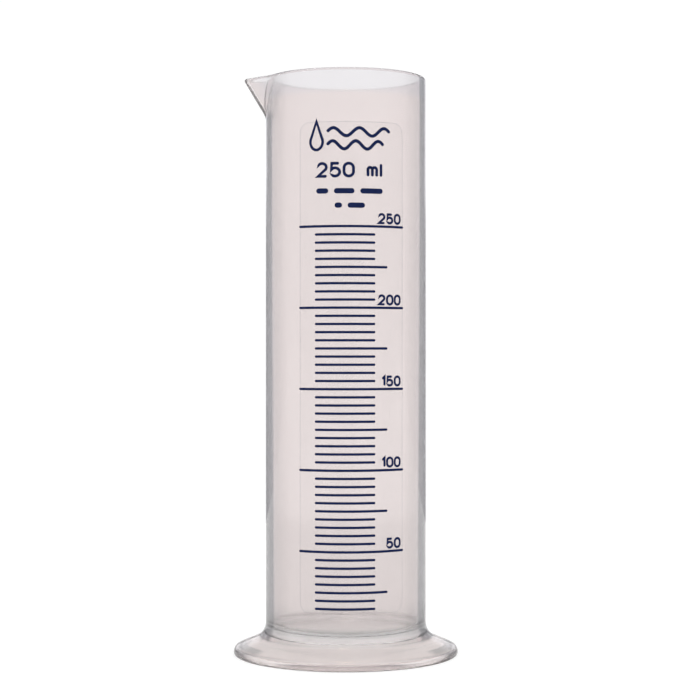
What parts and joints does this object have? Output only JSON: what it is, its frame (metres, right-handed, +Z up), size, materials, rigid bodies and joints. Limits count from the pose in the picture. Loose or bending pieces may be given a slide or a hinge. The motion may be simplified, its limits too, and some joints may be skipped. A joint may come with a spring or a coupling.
{
  "type": "graduated cylinder",
  "caption": "Clear plastic measuring cylinder: straight tube with a pinched pour spout, a flared hollow foot and a printed millilitre scale.",
  "frame": {"origin": "centre of the foot on the surface that the cylinder stands on", "axes": "+Z up along the tube's axis, the printed scale faces -Y and the pour spout points to -X"},
  "size_m": [0.0748, 0.0748, 0.192],
  "materials": {
    "tube_plastic": "translucent natural polypropylene, smooth, slightly milky",
    "foot_plastic": "translucent natural polypropylene, smooth, slightly milky",
    "clear_film": "clear transfer film, smooth",
    "scale_ink": "opaque navy printing ink, semi-matt"
  },
  "bodies": {
    "root": {"barrel": "tube_plastic", "foot": "foot_plastic", "scale_film": "clear_film", "scale_line_015ml": "scale_ink", "scale_line_020ml": "scale_ink", "scale_line_025ml": "scale_ink", "scale_line_030ml": "scale_ink", "scale_line_035ml": "scale_ink", "scale_line_040ml": "scale_ink", "scale_line_045ml": "scale_ink", "scale_line_050ml": "scale_ink", "scale_line_055ml": "scale_ink", "scale_line_060ml": "scale_ink", "scale_line_065ml": "scale_ink", "scale_line_070ml": "scale_ink", "scale_line_075ml": "scale_ink", "scale_line_080ml": "scale_ink", "scale_line_085ml": "scale_ink", "scale_line_090ml": "scale_ink", "scale_line_095ml": "scale_ink", "scale_line_100ml": "scale_ink", "scale_line_105ml": "scale_ink", "scale_line_110ml": "scale_ink", "scale_line_115ml": "scale_ink", "scale_line_120ml": "scale_ink", "scale_line_125ml": "scale_ink", "scale_line_130ml": "scale_ink", "scale_line_135ml": "scale_ink", "scale_line_140ml": "scale_ink", "scale_line_145ml": "scale_ink", "scale_line_150ml": "scale_ink", "scale_line_155ml": "scale_ink", "scale_line_160ml": "scale_ink", "scale_line_165ml": "scale_ink", "scale_line_170ml": "scale_ink", "scale_line_175ml": "scale_ink", "scale_line_180ml": "scale_ink", "scale_line_185ml": "scale_ink", "scale_line_190ml": "scale_ink", "scale_line_195ml": "scale_ink", "scale_line_200ml": "scale_ink", "scale_line_205ml": "scale_ink", "scale_line_210ml": "scale_ink", "scale_line_215ml": "scale_ink", "scale_line_220ml": "scale_ink", "scale_line_225ml": "scale_ink", "scale_line_230ml": "scale_ink", "scale_line_235ml": "scale_ink", "scale_line_240ml": "scale_ink", "scale_line_245ml": "scale_ink", "scale_line_250ml": "scale_ink"}
  },
  "joints": []
}
